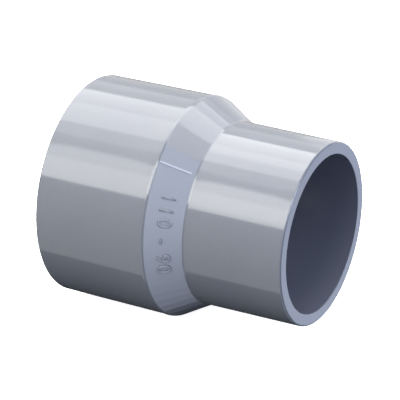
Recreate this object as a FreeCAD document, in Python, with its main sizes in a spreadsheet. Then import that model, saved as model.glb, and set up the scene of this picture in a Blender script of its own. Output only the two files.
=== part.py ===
import FreeCAD, Part

import math
import os

import Sketcher

# A concentric pipe reducer, moulded in one piece: a large and a small solvent-cement
# socket joined by a conical band. Millimetres. The X axis is the pipes' common axis. The
# origin is the centre of the large socket's mouth, +X points to the small one, +Z is up.

SIZES = {
    # the two pipes, and the gap that the sockets leave around them
    "large_pipe_diameter": 110.0,
    "small_pipe_diameter": 90.0,
    "socket_clearance": 0.1,
    "large_socket_depth": 61.0,
    "small_socket_depth": 51.0,
    # wall of each socket at its mouth
    "large_wall": 8.15,
    "small_wall": 7.0,
    # from the bottom of each socket to the end of its barrel
    "large_root_length": 5.8,
    "small_root_length": 8.1,
    # mould draft in degrees: each barrel gets thinner towards its own mouth
    "large_draft": 0.31,
    "small_draft": 0.43,
    # the band between the barrels: proud of the large one, a short flat, then a cone
    "band_step": 0.2,
    "band_flat": 0.28,
    "cone_length": 19.65,
    # rings at the bottom of the sockets, which the pushed-in pipes stop against
    "large_stop_height": 6.5,
    "small_stop_height": 5.5,
    "stop_length": 4.0,
    # rounded edges
    "band_edge_radius": 4.0,
    "cone_foot_radius": 2.5,
    "small_rim_radius": 1.0,
    "large_rim_radius": 0.5,
    "lead_in_radius": 0.3,
    # parting lines of the mould, raised along the cone on two opposite sides: the angle
    # is from the top towards -Y, the root is how far each one reaches into the cone, and
    # the gaps are what each one leaves free between itself and the cone's rounded ends
    "parting_line_angle": 45.0,
    "parting_line_width": 1.2,
    "parting_line_height": 0.35,
    "parting_line_root": 0.6,
    "parting_line_shoulder_gap": 0.35,
    "parting_line_foot_gap": 2.3,
    "parting_line_end_radius": 0.45,
    "parting_line_crown_radius": 0.25,
}

# Corners of the turned half section as (station along X, radius), near enough for its
# constraints to settle from. Each line is named, and runs from its corner to the next.
SECTION = {
    "large_mouth": (0, 55),
    "large_barrel": (0, 63),
    "band_step": (67, 63.5),
    "band_land": (67, 64),
    "cone": (68, 64),
    "small_barrel": (88, 52.5),
    "small_mouth": (147, 52),
    "small_socket": (147, 45),
    "small_shoulder": (96, 45),
    "small_stop": (96, 39.5),
    "inner_cone": (92, 39.5),
    "large_stop": (65, 48.5),
    "large_shoulder": (61, 48.5),
    "large_socket": (61, 55),
}
LINE = {name: number for number, name in enumerate(SECTION)}
LEVEL_LINES = ("band_land", "small_socket", "small_stop", "large_stop", "large_socket")
UPRIGHT_LINES = ("large_mouth", "band_step", "small_mouth", "small_shoulder", "large_shoulder")

LARGE_SOCKET_RADIUS = "(Sizes.large_pipe_diameter / 2 + Sizes.socket_clearance)"
SMALL_SOCKET_RADIUS = "(Sizes.small_pipe_diameter / 2 + Sizes.socket_clearance)"
LARGE_BARREL_LENGTH = "(Sizes.large_socket_depth + Sizes.large_root_length)"
SMALL_BARREL_LENGTH = "(Sizes.small_socket_depth + Sizes.small_root_length)"
LARGE_BARREL_RISE = f"{LARGE_BARREL_LENGTH} * tan(Sizes.large_draft * 1 deg)"
SMALL_BARREL_RISE = f"{SMALL_BARREL_LENGTH} * tan(Sizes.small_draft * 1 deg)"

# The roundings at the cone's two ends reach further the steeper it is. The band's land is
# its flat and what the rounding of its edge takes from it.
BAND_RADIUS = f"{LARGE_SOCKET_RADIUS} + Sizes.large_wall + {LARGE_BARREL_RISE} + Sizes.band_step"
CONE_FOOT_RADIUS = f"{SMALL_SOCKET_RADIUS} + Sizes.small_wall + {SMALL_BARREL_RISE}"
CONE_SLOPE = f"atan(({BAND_RADIUS} - ({CONE_FOOT_RADIUS})) / Sizes.cone_length)"
SHOULDER_REACH = f"Sizes.band_edge_radius * tan({CONE_SLOPE} / 2)"
FOOT_REACH = f"Sizes.cone_foot_radius * tan({CONE_SLOPE} / 2)"
BAND_LAND = f"Sizes.band_flat + {SHOULDER_REACH}"

# how far each line runs along the axis
LENGTHS = {
    "large_barrel": LARGE_BARREL_LENGTH,
    "band_land": BAND_LAND,
    "cone": "Sizes.cone_length",
    "small_barrel": SMALL_BARREL_LENGTH,
    "small_socket": "Sizes.small_socket_depth",
    "small_stop": "Sizes.stop_length",
    "large_stop": "Sizes.stop_length",
    "large_socket": "Sizes.large_socket_depth",
}
# how far each line runs in radius
HEIGHTS = {
    "large_mouth": "Sizes.large_wall",
    "large_barrel": LARGE_BARREL_RISE,
    "band_step": "Sizes.band_step",
    "small_barrel": SMALL_BARREL_RISE,
    "small_mouth": "Sizes.small_wall",
    "small_shoulder": "Sizes.small_stop_height",
    "large_shoulder": "Sizes.large_stop_height",
}
# radius at the corner that each of these lines starts from
RADII = {
    "large_mouth": LARGE_SOCKET_RADIUS,
    "small_socket": SMALL_SOCKET_RADIUS,
}
# each rounding's size, and the lines whose starting corners it rounds
ROUNDINGS = {
    "band_edge_radius": ("cone",),
    "cone_foot_radius": ("small_barrel",),
    "small_rim_radius": ("small_mouth",),
    "large_rim_radius": ("large_barrel",),
    "lead_in_radius": ("large_mouth", "small_socket"),
}

# the sketcher's own numbers: a line's ends, the origin, the upright axis, and the first
# line that is taken from another sketch
START, END = 1, 2
ORIGIN = -1
UPRIGHT_AXIS = -2
BORROWED = -3

SAME_PLACE = 1e-4


def make_sheet(doc):
    """The driving sizes, one row each: its name in column A, its value in column B."""
    sheet = doc.addObject("Spreadsheet::Sheet", "Sizes")
    for row, (name, value) in enumerate(SIZES.items(), start=1):
        sheet.set(f"A{row}", name)
        sheet.set(f"B{row}", str(value))
        sheet.setAlias(f"B{row}", name)
    doc.recompute()


def new_sketch(body, name):
    """A sketch on the body's own XZ plane: its x is the axis, and its y the radius."""
    plane = next(f for f in body.Origin.OriginFeatures if f.Role == "XZ_Plane")
    sketch = body.newObject("Sketcher::SketchObject", name)
    sketch.AttachmentSupport = (plane, [""])
    sketch.MapMode = "FlatFace"
    return sketch


def add_outline(sketch, corners):
    """Straight lines from corner to corner and back to the first, joined end to end."""
    points = [FreeCAD.Vector(x, y, 0) for x, y in corners]
    followers = points[1:] + points[:1]
    for first, last in zip(points, followers):
        sketch.addGeometry(Part.LineSegment(first, last), False)
    for line in range(len(points)):
        after = (line + 1) % len(points)
        sketch.addConstraint(Sketcher.Constraint("Coincident", line, END, after, START))


def bind(sketch, name, constraint, formula):
    """A dimension of the sketch, under its own name, that follows the sheet."""
    index = sketch.addConstraint(constraint)
    sketch.renameConstraint(index, name)
    sketch.setExpression(f"Constraints.{name}", formula)


def bind_extent(sketch, name, kind, formula):
    """How far a line of the section runs along the axis or in radius, as a positive size."""
    start = sketch.getPoint(LINE[name], START)
    end = sketch.getPoint(LINE[name], END)
    run = end.x - start.x if kind == "DistanceX" else end.y - start.y
    first, last = (START, END) if run > 0 else (END, START)
    constraint = Sketcher.Constraint(kind, LINE[name], first, LINE[name], last, abs(run))
    bind(sketch, f"{name}_{kind.lower()}", constraint, formula)


def make_profile(body):
    """The half section, from the large mouth round by the outside to the large socket."""
    sketch = new_sketch(body, "Profile")
    add_outline(sketch, SECTION.values())
    for name in LEVEL_LINES:
        sketch.addConstraint(Sketcher.Constraint("Horizontal", LINE[name]))
    for name in UPRIGHT_LINES:
        sketch.addConstraint(Sketcher.Constraint("Vertical", LINE[name]))
    mouth = LINE["large_mouth"]
    sketch.addConstraint(Sketcher.Constraint("PointOnObject", mouth, START, UPRIGHT_AXIS))
    for name, formula in LENGTHS.items():
        bind_extent(sketch, name, "DistanceX", formula)
    for name, formula in HEIGHTS.items():
        bind_extent(sketch, name, "DistanceY", formula)
    for name, formula in RADII.items():
        radius = sketch.getPoint(LINE[name], START).y
        constraint = Sketcher.Constraint("DistanceY", ORIGIN, START, LINE[name], START, radius)
        bind(sketch, f"{name}_radius", constraint, formula)
    return sketch


def turn(body, profile):
    """The section turned about the pipes' axis."""
    turned = body.newObject("PartDesign::Revolution", "Turned")
    turned.Profile = profile
    turned.ReferenceAxis = (profile, ["H_Axis"])
    turned.Angle = 360
    return turned


def circles_at(shape, corners):
    """The names of the circular edges that the section's corners sweep."""
    names = []
    for number, edge in enumerate(shape.Edges, start=1):
        if not isinstance(edge.Curve, Part.Circle):
            continue
        for corner in corners:
            station_off = abs(edge.Curve.Center.x - corner.x)
            radius_off = abs(edge.Curve.Radius - corner.y)
            if max(station_off, radius_off) < SAME_PLACE:
                names.append(f"Edge{number}")
    return names


def round_edges(body, profile, base, size, lines):
    """One rounding, on the edges that start the named lines of the section."""
    corners = [profile.getPoint(LINE[name], START) for name in lines]
    rounding = body.newObject("PartDesign::Fillet", size.title().replace("_", ""))
    rounding.Base = (base, circles_at(base.Shape, corners))
    rounding.setExpression("Radius", f"Sizes.{size}")
    return rounding


def cone_line(profile):
    """The cone's start and end in the section, its direction down the slope, and outward."""
    start = profile.getPoint(LINE["cone"], START)
    end = profile.getPoint(LINE["cone"], END)
    down = (end - start).normalize()
    return start, end, down, FreeCAD.Vector(-down.y, down.x, 0)


def make_parting_lines(body, profile):
    """A low rib along the cone in the section's own plane, and the same one opposite."""
    sketch = new_sketch(body, "PartingLineProfile")
    sketch.addExternal(profile.Name, f"Edge{LINE['cone'] + 1}")
    start, end, down, out = cone_line(profile)
    reach = math.tan(math.atan2(-down.y, down.x) / 2)
    shoulder_inset = SIZES["band_edge_radius"] * reach + SIZES["parting_line_shoulder_gap"]
    foot_inset = SIZES["cone_foot_radius"] * reach + SIZES["parting_line_foot_gap"]
    shoulder = start + down * shoulder_inset
    foot = end - down * foot_inset
    top = out * SIZES["parting_line_height"]
    root = out * -SIZES["parting_line_root"]
    corners = [shoulder + top, foot + top, foot + root, shoulder + root]
    add_outline(sketch, [(corner.x, corner.y) for corner in corners])
    outer, foot_end, inner, shoulder_end = range(len(corners))
    for line in (outer, inner):
        sketch.addConstraint(Sketcher.Constraint("Parallel", line, BORROWED))
    for line in (foot_end, shoulder_end):
        sketch.addConstraint(Sketcher.Constraint("Perpendicular", line, BORROWED))
    for name, line in (("height", outer), ("root", inner)):
        size = f"parting_line_{name}"
        constraint = Sketcher.Constraint("Distance", line, START, BORROWED, SIZES[size])
        bind(sketch, name, constraint, f"Sizes.{size}")
    constraint = Sketcher.Constraint("Distance", BORROWED, START, shoulder_end, shoulder_inset)
    bind(sketch, "shoulder_inset", constraint, f"{SHOULDER_REACH} + Sizes.parting_line_shoulder_gap")
    constraint = Sketcher.Constraint("Distance", BORROWED, END, foot_end, foot_inset)
    bind(sketch, "foot_inset", constraint, f"{FOOT_REACH} + Sizes.parting_line_foot_gap")
    rib = body.newObject("PartDesign::Pad", "PartingLine")
    rib.Profile = sketch
    rib.SideType = "Symmetric"
    rib.setExpression("Length", "Sizes.parting_line_width")
    pair = body.newObject("PartDesign::PolarPattern", "PartingLines")
    pair.Originals = [rib]
    pair.Axis = (profile, ["H_Axis"])
    pair.Angle = 360
    pair.Occurrences = 2
    body.Tip = pair
    return pair


def outward_at(point, out):
    """The cone's outward direction on the side of the axis that a point is on."""
    return FreeCAD.Vector(out.x, 0, out.y if point.z > 0 else -out.y)


def rib_end_corners(shape, out):
    """The names of the edges that stand straight up out of the cone."""
    names = []
    for number, edge in enumerate(shape.Edges, start=1):
        if not isinstance(edge.Curve, Part.Line):
            continue
        along = edge.tangentAt(edge.FirstParameter)
        if abs(along.dot(outward_at(edge.CenterOfMass, out))) > 1 - SAME_PLACE:
            names.append(f"Edge{number}")
    return names


def rib_crown_edges(shape, out):
    """The names of the edges round the flat top of each rib."""
    crowns = []
    for face in shape.Faces:
        facing = face.normalAt(0, 0) if isinstance(face.Surface, Part.Plane) else FreeCAD.Vector()
        if facing.dot(outward_at(face.CenterOfMass, out)) > 1 - SAME_PLACE:
            crowns += face.Edges
    numbered = enumerate(shape.Edges, start=1)
    return [f"Edge{number}" for number, edge in numbered if any(edge.isSame(crown) for crown in crowns)]


def round_ribs(body, profile, base):
    """The ribs' ends rounded as seen from outside, then the edge all round their tops."""
    start, end, down, out = cone_line(profile)
    for size, edges_of in (("end", rib_end_corners), ("crown", rib_crown_edges)):
        rounding = body.newObject("PartDesign::Fillet", f"PartingLine{size.title()}")
        rounding.Base = (base, edges_of(base.Shape, out))
        rounding.setExpression("Radius", f"Sizes.parting_line_{size}_radius")
        body.Document.recompute()
        base = rounding
    body.Tip = base
    return base


def make_reducer_body(doc):
    """The whole moulding: turned, rounded, then given its parting lines."""
    body = doc.addObject("PartDesign::Body", "ReducerBody")
    body.Label = "reducer_body"
    profile = make_profile(body)
    feature = turn(body, profile)
    doc.recompute()
    for size, lines in ROUNDINGS.items():
        feature = round_edges(body, profile, feature, size, lines)
        doc.recompute()
    smooth_volume = feature.Shape.Volume
    pair = make_parting_lines(body, profile)
    doc.recompute()
    ribbed = round_ribs(body, profile, pair)
    axis = FreeCAD.Vector(1, 0, 0)
    body.Placement = FreeCAD.Placement(FreeCAD.Vector(), FreeCAD.Rotation(axis, 1))
    body.setExpression("Placement.Rotation.Angle", "Sizes.parting_line_angle * 1 deg")
    doc.recompute()
    if ribbed.Shape.Volume <= smooth_volume:
        raise RuntimeError("the parting lines add nothing to the cone")
    return body


def check(doc, parts):
    """Every object computed, and every sub-part one valid solid."""
    for item in doc.Objects:
        if {"Invalid", "Error"} & set(item.State):
            raise RuntimeError(f"{item.Label} failed: {item.State}")
    for part in parts:
        if part.Shape.isNull() or not part.Shape.isValid() or len(part.Shape.Solids) != 1:
            raise RuntimeError(f"{part.Label} is not one valid solid")


def write(parts):
    """One STEP file for each sub-part, under its own label."""
    os.makedirs("parts", exist_ok=True)
    for part in parts:
        part.Shape.exportStep(f"parts/{part.Label}.step")
        box = part.Shape.optimalBoundingBox()
        volume = part.Shape.Volume / 1000
        centre = part.Shape.Solids[0].CenterOfMass
        print(f"{part.Label}: {box.XLength:.2f} x {box.YLength:.2f} x {box.ZLength:.2f} mm")
        print(f"{part.Label}: {volume:.1f} cm3, centre of mass {centre.x:.2f} mm along X")


doc = FreeCAD.newDocument("pipe_reducer")
make_sheet(doc)
sub_parts = [make_reducer_body(doc)]
check(doc, sub_parts)
write(sub_parts)
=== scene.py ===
import math

import bmesh
import bpy
from mathutils import Matrix, Vector


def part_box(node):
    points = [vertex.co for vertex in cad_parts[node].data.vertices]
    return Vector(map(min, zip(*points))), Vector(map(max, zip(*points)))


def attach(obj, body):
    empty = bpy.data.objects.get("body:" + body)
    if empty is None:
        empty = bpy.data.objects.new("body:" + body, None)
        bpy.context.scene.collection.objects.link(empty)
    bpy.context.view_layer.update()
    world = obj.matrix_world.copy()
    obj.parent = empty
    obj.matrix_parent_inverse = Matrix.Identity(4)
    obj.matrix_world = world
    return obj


# A concentric pipe reducer in grey PVC-U. Metres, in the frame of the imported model: the
# pipes' axis is X, the origin is the centre of the large mouth, and +Z is up.

MM = 0.001

# ---- camera -------------------------------------------------------------------------
CAMERA_AZIMUTH = 28.64
CAMERA_ELEVATION = 24.49
CAMERA_DISTANCE = 1.31
CAMERA_AIM = (0.0697, 0.0, 0.0040)
CAMERA_LENS_MM = 208.9
CAMERA_SENSOR_MM = 36.0

# ---- light --------------------------------------------------------------------------
# Softboxes stand round the pipes' axis at one distance from it, each one facing it. Every
# row is the angles that a box spans, in degrees from the top towards -Y, its ends along
# X, and its radiance.
BOX_DISTANCE = 1.0
WARM = (1.0, 0.988, 0.98)
COOL = (0.7, 0.775, 0.98)
LEFT = (-1.6, 0.08)
NEAR = (-0.4, 0.08)
SHOULDER = (0.05, 0.33)
BACK = (-0.3, 0.6)
MIDDLE = (0.08, 0.6)
SOFTBOXES = {
    "back_low": (-120, -92, LEFT, 0.5),
    "back_middle": (-92, -65, LEFT, 0.85),
    "back_high": (-65, -43, LEFT, 1.6),
    "high_strip_upper": (-43, -20, LEFT, 4.9),
    "high_strip_lower": (-20, 6, LEFT, 6.0),
    "high_strip_fade": (6, 20, LEFT, 3.7),
    "gap": (20, 34, LEFT, 2.4),
    "front_strip_upper": (34, 45, LEFT, 5.4),
    "front_strip_lower": (45, 67, LEFT, 6.6),
    "low_front": (67, 150, LEFT, 1.0),
    "high_strip_near": (-43, -8, NEAR, 1.3),
    "front_strip_near": (34, 62, NEAR, 1.3),
    "cone_back_near": (-103, -57, BACK, 0.55),
    "cone_back_far": (-100, -57, MIDDLE, 1.5),
    "cone_strip_upper": (-57, -44, MIDDLE, 4.0),
    "cone_strip_lower": (-44, -17, MIDDLE, 6.0),
    "overhead": (-17, 10, MIDDLE, 3.4),
    "shoulder_line": (30, 62, SHOULDER, 8.5),
}
# An arc of boxes on the right, which the cone mirrors. It starts near the top and goes
# round by the front and the underside.
ARC_START = 10
ARC_STEP = 10
ARC_BOXES = 20
ARC_WIDTH = 0.3
ARC_REACH = 0.72
ARC_RADIANCE = 4.8
ARC_BRIGHTEST = 62
ARC_FALL = 0.62
# Square boxes beyond the small mouth: place, side and radiance.
END_BOXES = {
    "end_high": ((1.6, 0.0, 0.6), 0.9, 14.5),
    "end_back": ((0.57, 0.8, -0.41), 0.5, 1.8),
}
# What surrounds the boxes: white where the camera looks, and nearly dark as a light.
WHITE = (1.0, 1.0, 1.0, 1.0)
ROOM_COLOUR = (0.9, 0.95, 1.0, 1.0)
ROOM_STRENGTH = 0.02

# ---- grey PVC-U ---------------------------------------------------------------------
PVC_DARK = (0.092, 0.099, 0.114, 1.0)
PVC_LIGHT = (0.1, 0.107, 0.121, 1.0)
PVC_PIGMENT = (0.16, 0.17, 0.185, 1.0)
# Painted highlight: the pale colour put on the tops of the parting-line ribs.
PVC_PAINTED_RIB_HIGHLIGHT = (0.175, 0.187, 0.215, 1.0)
# Painted shade: the darker colour put on the surfaces inside the fitting, where little light
# reaches.
PVC_PAINTED_BORE_SHADE = (0.076, 0.081, 0.104, 1.0)
PVC_IOR = 1.53
# Noise patterns as (scale, detail). DRAW_STRETCH sets how fine the draw marks are.
FLOW_MARKS = (28.0, 4.0)
PIGMENT = (1500.0, 2.0)
DRAW_MARKS = (1.0, 5.0)
RIPPLE = (42.0, 1.0)
PEEL = (520.0, 2.0)
SMUDGES = (17.0, 5.0)
DRAW_STRETCH = (9.0, 420.0, 420.0)
# Where noise mostly lies, and what it is spread over. CORED_ROUGHNESS is added inside.
NOISE_RANGE = (0.3, 0.7)
FLOW_RANGE = (0.0, 1.0)
PIGMENT_RANGE = (0.0, 0.12)
SMUDGE_ROUGHNESS = (0.055, 0.1)
DRAW_ROUGHNESS = (0.0, 0.03)
CORED_ROUGHNESS = 0.12
RIPPLE_DEPTH = 0.03 * MM
DRAW_DEPTH = 0.002 * MM
PEEL_DEPTH = 0.001 * MM

# ---- the cone and what is on it -----------------------------------------------------
# Its ends, as (place along X, radius).
CONE_START = (68.15 * MM, 63.81 * MM)
CONE_END = (87.8 * MM, 52.54 * MM)
# A surface nearer to the axis than the limit is inside the fitting. The limit goes from
# the first value to the second over this range of X.
CORE_RANGE = (60.0 * MM, 92.0 * MM)
CORE_LIMITS = (55.3 * MM, 45.3 * MM)
# The bands of painted highlight over the parting lines, which end softly.
PARTING_LINE_WIDTH = 1.5 * MM
PARTING_LINE_START = 69.3 * MM
PARTING_LINE_END = 85.4 * MM
PARTING_LINE_SIDE_FADE = 0.3 * MM
PARTING_LINE_END_FADE = 0.1 * MM
# Raised size numerals: the angle is from the top towards -Y, the place a share of the cone.
MARKING = "110 - 90"
MARKING_SIZE = 11.0 * MM
MARKING_SPACING = 1.26
MARKING_RELIEF = 0.7 * MM
MARKING_ROUNDING = 0.35 * MM
MARKING_ROUNDING_STEPS = 2
MARKING_CURVE_STEPS = 6
MARKING_CUT_STEP = 1.0 * MM
MARKING_MERGE = 0.001 * MM
MARKING_SHARP_ANGLE = 50
MARKING_ANGLE = 82.4
MARKING_PLACE = 0.5

# ---- floor --------------------------------------------------------------------------
FLOOR_REACH = 3.0
FLOOR_COLOUR = (0.86, 0.87, 0.88, 1.0)
FLOOR_ROUGHNESS = 0.9
FLOOR_GLOW = 0.88


def direction(azimuth, elevation):
    """Unit vector from the object towards a place round it, azimuth 0 being -Y."""
    a = math.radians(azimuth)
    e = math.radians(elevation)
    return Vector((math.sin(a) * math.cos(e), -math.cos(a) * math.cos(e), math.sin(e)))


def look_at(obj, target):
    """Turns a camera or light so that it points at a place, with no roll."""
    gaze = Vector(target) - obj.location
    obj.rotation_euler = gaze.to_track_quat("-Z", "Y").to_euler()


def link(obj):
    bpy.context.scene.collection.objects.link(obj)
    return obj


def add_camera():
    data = bpy.data.cameras.new("camera")
    data.lens = CAMERA_LENS_MM
    data.sensor_width = CAMERA_SENSOR_MM
    camera = link(bpy.data.objects.new("camera", data))
    towards_camera = direction(CAMERA_AZIMUTH, CAMERA_ELEVATION)
    camera.location = Vector(CAMERA_AIM) + towards_camera * CAMERA_DISTANCE
    look_at(camera, CAMERA_AIM)
    bpy.context.scene.camera = camera


def new_softbox(name, width, depth, radiance, colour):
    """A rectangular light that shines as brightly per area as its radiance says."""
    data = bpy.data.lights.new(name, "AREA")
    data.shape = "RECTANGLE"
    data.size = width
    data.size_y = depth
    data.energy = math.pi * width * depth * radiance
    data.color = colour
    light = link(bpy.data.objects.new(name, data))
    light.visible_camera = False
    return light


def add_round_axis(name, angles, ends, radiance, colour):
    """A softbox that spans two angles round the axis, between two places along it."""
    first, last = angles
    start, end = ends
    middle = math.radians((first + last) / 2)
    half = math.radians((last - first) / 2)
    depth = 2 * BOX_DISTANCE * math.tan(half)
    light = new_softbox(name, end - start, depth, radiance, colour)
    along = Vector((1, 0, 0))
    outward = Vector((0, -math.sin(middle), math.cos(middle)))
    light.location = outward * BOX_DISTANCE + along * (start + end) / 2
    light.rotation_euler = Matrix((along, outward.cross(along), outward)).transposed().to_euler()


def add_softboxes():
    for name, (first, last, ends, radiance) in SOFTBOXES.items():
        add_round_axis(name, (first, last), ends, radiance, WARM)


def add_arc():
    for number in range(ARC_BOXES):
        first = ARC_START + number * ARC_STEP
        turn = math.radians(first + ARC_STEP / 2 - ARC_BRIGHTEST) * ARC_FALL
        middle = ARC_REACH * math.cos(turn)
        ends = (middle - ARC_WIDTH / 2, middle + ARC_WIDTH / 2)
        radiance = ARC_RADIANCE * math.cos(turn)
        add_round_axis(f"arc_{number}", (first, first + ARC_STEP), ends, radiance, COOL)


def add_end_boxes():
    for name, (place, side, radiance) in END_BOXES.items():
        light = new_softbox(name, side, side, radiance, COOL)
        light.location = Vector(place)
        look_at(light, CAMERA_AIM)


def make_world():
    """White to the camera, and nearly dark to everything that it would light."""
    world = bpy.data.worlds.new("studio")
    bpy.context.scene.world = world
    world.use_nodes = True
    nodes = world.node_tree.nodes
    links = world.node_tree.links
    nodes.clear()
    out = nodes.new("ShaderNodeOutputWorld")
    mix = nodes.new("ShaderNodeMixShader")
    path = nodes.new("ShaderNodeLightPath")
    room = nodes.new("ShaderNodeBackground")
    seen = nodes.new("ShaderNodeBackground")
    room.inputs["Color"].default_value = ROOM_COLOUR
    room.inputs["Strength"].default_value = ROOM_STRENGTH
    seen.inputs["Color"].default_value = WHITE
    seen.inputs["Strength"].default_value = 1.0
    links.new(path.outputs["Is Camera Ray"], mix.inputs["Fac"])
    links.new(room.outputs["Background"], mix.inputs[1])
    links.new(seen.outputs["Background"], mix.inputs[2])
    links.new(mix.outputs["Shader"], out.inputs["Surface"])


def feed(tree, socket, value):
    """Links a socket to another one, or gives it a plain value."""
    if isinstance(value, bpy.types.NodeSocket):
        tree.links.new(value, socket)
    else:
        socket.default_value = value


def node_of(tree, kind, **settings):
    """A new node: each setting is for one of its sockets, or is an attribute of it."""
    node = tree.nodes.new(kind)
    for name, value in settings.items():
        socket = node.inputs.get(name.replace("_", " ").title())
        if socket:
            feed(tree, socket, value)
        else:
            setattr(node, name, value)
    return node


def noise(tree, place, pattern):
    scale, detail = pattern
    node = node_of(tree, "ShaderNodeTexNoise", vector=place, scale=scale, detail=detail)
    return node.outputs["Fac"]


def calculate(tree, operation, *values):
    node = node_of(tree, "ShaderNodeMath", operation=operation)
    for socket, value in zip(node.inputs, values):
        feed(tree, socket, value)
    return node.outputs[0]


def remap(tree, value, before, after):
    """A value carried from one range to another, and held at the ends."""
    first, last = before
    low, high = after
    ranges = {"from_min": first, "from_max": last, "to_min": low, "to_max": high}
    return node_of(tree, "ShaderNodeMapRange", value=value, **ranges).outputs["Result"]


def spread(tree, value, span):
    """Noise, which stays near its middle, spread over a whole range."""
    return remap(tree, value, NOISE_RANGE, span)


def inside(tree, value, low, high, softness):
    """One between two limits, and zero beyond them."""
    middle = (low + high) / 2
    half = (high - low) / 2
    off = calculate(tree, "ABSOLUTE", calculate(tree, "SUBTRACT", value, middle))
    return remap(tree, off, (half - softness, half), (1.0, 0.0))


def blend(tree, factor, first, second):
    """A colour between two others, which are colours or sockets."""
    node = tree.nodes.new("ShaderNodeMix")
    node.data_type = "RGBA"
    feed(tree, node.inputs[0], factor)
    feed(tree, node.inputs[6], first)
    feed(tree, node.inputs[7], second)
    return node.outputs[2]


def bump(tree, height, distance, under=None):
    node = node_of(tree, "ShaderNodeBump", height=height, distance=distance)
    if under:
        tree.links.new(under, node.inputs["Normal"])
    return node.outputs["Normal"]


def parting_line_highlight_mask(tree, place):
    """The two ribs on the cone, whose tops get a painted highlight."""
    split = node_of(tree, "ShaderNodeSeparateXYZ", vector=place)
    x, y, z = split.outputs
    across = calculate(tree, "MULTIPLY", calculate(tree, "ADD", y, z), math.sqrt(0.5))
    half = PARTING_LINE_WIDTH / 2
    near = inside(tree, across, -half, half, PARTING_LINE_SIDE_FADE)
    along = inside(tree, x, PARTING_LINE_START, PARTING_LINE_END, PARTING_LINE_END_FADE)
    return calculate(tree, "MULTIPLY", near, along)


def socket_mask(tree, place):
    """One on the surfaces inside the fitting, and zero on the outside and the mouths."""
    split = node_of(tree, "ShaderNodeSeparateXYZ", vector=place)
    x, y, z = split.outputs
    squares = [calculate(tree, "POWER", side, 2.0) for side in (y, z)]
    radius = calculate(tree, "SQRT", calculate(tree, "ADD", *squares))
    limit = remap(tree, x, CORE_RANGE, CORE_LIMITS)
    return calculate(tree, "LESS_THAN", radius, limit)


def grey_pvc():
    """Glossy moulded PVC-U: flow marks, pigment, lengthwise draw marks, and a faint ripple."""
    material = bpy.data.materials.new("moulded_grey_pvc")
    material.use_nodes = True
    tree = material.node_tree
    shader = tree.nodes["Principled BSDF"]
    place = node_of(tree, "ShaderNodeTexCoord").outputs["Object"]
    mapping = node_of(tree, "ShaderNodeMapping", vector=place, scale=DRAW_STRETCH)
    stretched = mapping.outputs["Vector"]
    flow = noise(tree, place, FLOW_MARKS)
    pigment = noise(tree, place, PIGMENT)
    drawn = noise(tree, stretched, DRAW_MARKS)
    ripple = noise(tree, place, RIPPLE)
    peel = noise(tree, place, PEEL)
    smudge = noise(tree, place, SMUDGES)

    colour = blend(tree, spread(tree, flow, FLOW_RANGE), PVC_DARK, PVC_LIGHT)
    colour = blend(tree, spread(tree, pigment, PIGMENT_RANGE), colour, PVC_PIGMENT)
    # Painted highlight along the parting-line ribs on the cone.
    colour = blend(tree, parting_line_highlight_mask(tree, place), colour, PVC_PAINTED_RIB_HIGHLIGHT)
    inside_dull_and_painted_shade = socket_mask(tree, place)
    # Painted shade: surfaces inside the fitting are coloured darker. The roughness added there
    # below is only a duller finish.
    colour = blend(tree, inside_dull_and_painted_shade, colour, PVC_PAINTED_BORE_SHADE)
    tree.links.new(colour, shader.inputs["Base Color"])

    smudged = spread(tree, smudge, SMUDGE_ROUGHNESS)
    dull = calculate(tree, "ADD", smudged, spread(tree, drawn, DRAW_ROUGHNESS))
    dull = calculate(tree, "ADD", dull, calculate(tree, "MULTIPLY", inside_dull_and_painted_shade, CORED_ROUGHNESS))
    tree.links.new(dull, shader.inputs["Roughness"])

    normal = bump(tree, ripple, RIPPLE_DEPTH)
    normal = bump(tree, drawn, DRAW_DEPTH, normal)
    normal = bump(tree, peel, PEEL_DEPTH, normal)
    tree.links.new(normal, shader.inputs["Normal"])
    shader.inputs["IOR"].default_value = PVC_IOR
    return material


def flat_numerals():
    """The size marking as a flat mesh about its own centre, with rounded edges."""
    data = bpy.data.curves.new("size_marking", "FONT")
    data.body = MARKING
    data.size = MARKING_SIZE
    data.space_character = MARKING_SPACING
    data.align_x = "CENTER"
    data.align_y = "CENTER"
    data.extrude = MARKING_RELIEF / 2
    data.bevel_depth = MARKING_ROUNDING
    data.bevel_resolution = MARKING_ROUNDING_STEPS
    data.offset = -MARKING_ROUNDING / 2
    data.resolution_u = MARKING_CURVE_STEPS
    text = link(bpy.data.objects.new("size_marking_text", data))
    bpy.context.view_layer.update()
    evaluated = text.evaluated_get(bpy.context.evaluated_depsgraph_get())
    mesh = bpy.data.meshes.new_from_object(evaluated)
    bpy.data.objects.remove(text)
    return mesh


def cut_upright(mesh, step):
    """Cuts a mesh by planes across its length, so that it can be bent."""
    form = bmesh.new()
    form.from_mesh(mesh)
    bmesh.ops.remove_doubles(form, verts=form.verts, dist=MARKING_MERGE)
    reach = max(abs(vertex.co.x) for vertex in form.verts)
    cuts = int(reach / step)
    for number in range(-cuts, cuts + 1):
        everything = form.verts[:] + form.edges[:] + form.faces[:]
        middle = Vector((number * step, 0, 0))
        bmesh.ops.bisect_plane(form, geom=everything, plane_co=middle, plane_no=(1, 0, 0))
    form.to_mesh(mesh)
    form.free()


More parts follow.
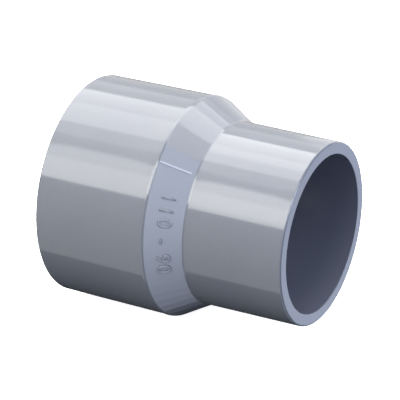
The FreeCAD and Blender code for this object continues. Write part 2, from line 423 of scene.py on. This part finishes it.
def add_size_marking(material):
    """Generic raised numerals on the cone: they read downwards, with their tops to +X."""
    mesh = flat_numerals()
    cut_upright(mesh, MARKING_CUT_STEP)
    start = Vector(CONE_START)
    slope = (Vector(CONE_END) - start).normalized()
    out = Vector((-slope.y, slope.x))
    middle = start.lerp(Vector(CONE_END), MARKING_PLACE)
    for vertex in mesh.vertices:
        reading, up, proud = vertex.co
        on_cone = middle + slope * up + out * proud
        angle = math.radians(MARKING_ANGLE) + reading / middle.y
        vertex.co = (on_cone.x, -on_cone.y * math.sin(angle), on_cone.y * math.cos(angle))
    for polygon in mesh.polygons:
        polygon.use_smooth = True
    mesh.materials.clear()
    mesh.materials.append(material)
    mesh.set_sharp_from_angle(angle=math.radians(MARKING_SHARP_ANGLE))
    marking = link(bpy.data.objects.new("size_marking", mesh))
    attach(marking, "root")


def add_floor(height):
    """A plain pale floor that glows. The object neither mirrors it nor is lit by it."""
    mesh = bpy.data.meshes.new("floor")
    corners = [(-1, -1, 0), (1, -1, 0), (1, 1, 0), (-1, 1, 0)]
    mesh.from_pydata([Vector(corner) * FLOOR_REACH for corner in corners], [], [(0, 1, 2, 3)])
    material = bpy.data.materials.new("pale_floor")
    material.use_nodes = True
    shader = material.node_tree.nodes["Principled BSDF"]
    shader.inputs["Base Color"].default_value = FLOOR_COLOUR
    shader.inputs["Roughness"].default_value = FLOOR_ROUGHNESS
    shader.inputs["Specular IOR Level"].default_value = 0.0
    shader.inputs["Emission Color"].default_value = WHITE
    shader.inputs["Emission Strength"].default_value = FLOOR_GLOW
    mesh.materials.append(material)
    floor = link(bpy.data.objects.new("floor", mesh))
    floor.location.z = height
    floor.visible_diffuse = False
    floor.visible_glossy = False
    floor.visible_shadow = False


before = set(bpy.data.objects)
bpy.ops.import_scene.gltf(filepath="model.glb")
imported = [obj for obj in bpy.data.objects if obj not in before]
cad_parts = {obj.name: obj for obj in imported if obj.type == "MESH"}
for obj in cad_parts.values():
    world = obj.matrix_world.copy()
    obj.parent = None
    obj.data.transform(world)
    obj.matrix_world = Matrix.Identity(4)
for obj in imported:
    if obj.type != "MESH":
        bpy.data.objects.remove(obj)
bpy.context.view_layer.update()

scene = bpy.context.scene
scene.view_settings.view_transform = "Standard"

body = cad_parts["reducer_body"]
pvc = grey_pvc()
body.data.materials.clear()
body.data.materials.append(pvc)
add_size_marking(pvc)
add_floor(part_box("reducer_body")[0][2])

make_world()
add_camera()
add_softboxes()
add_arc()
add_end_boxes()
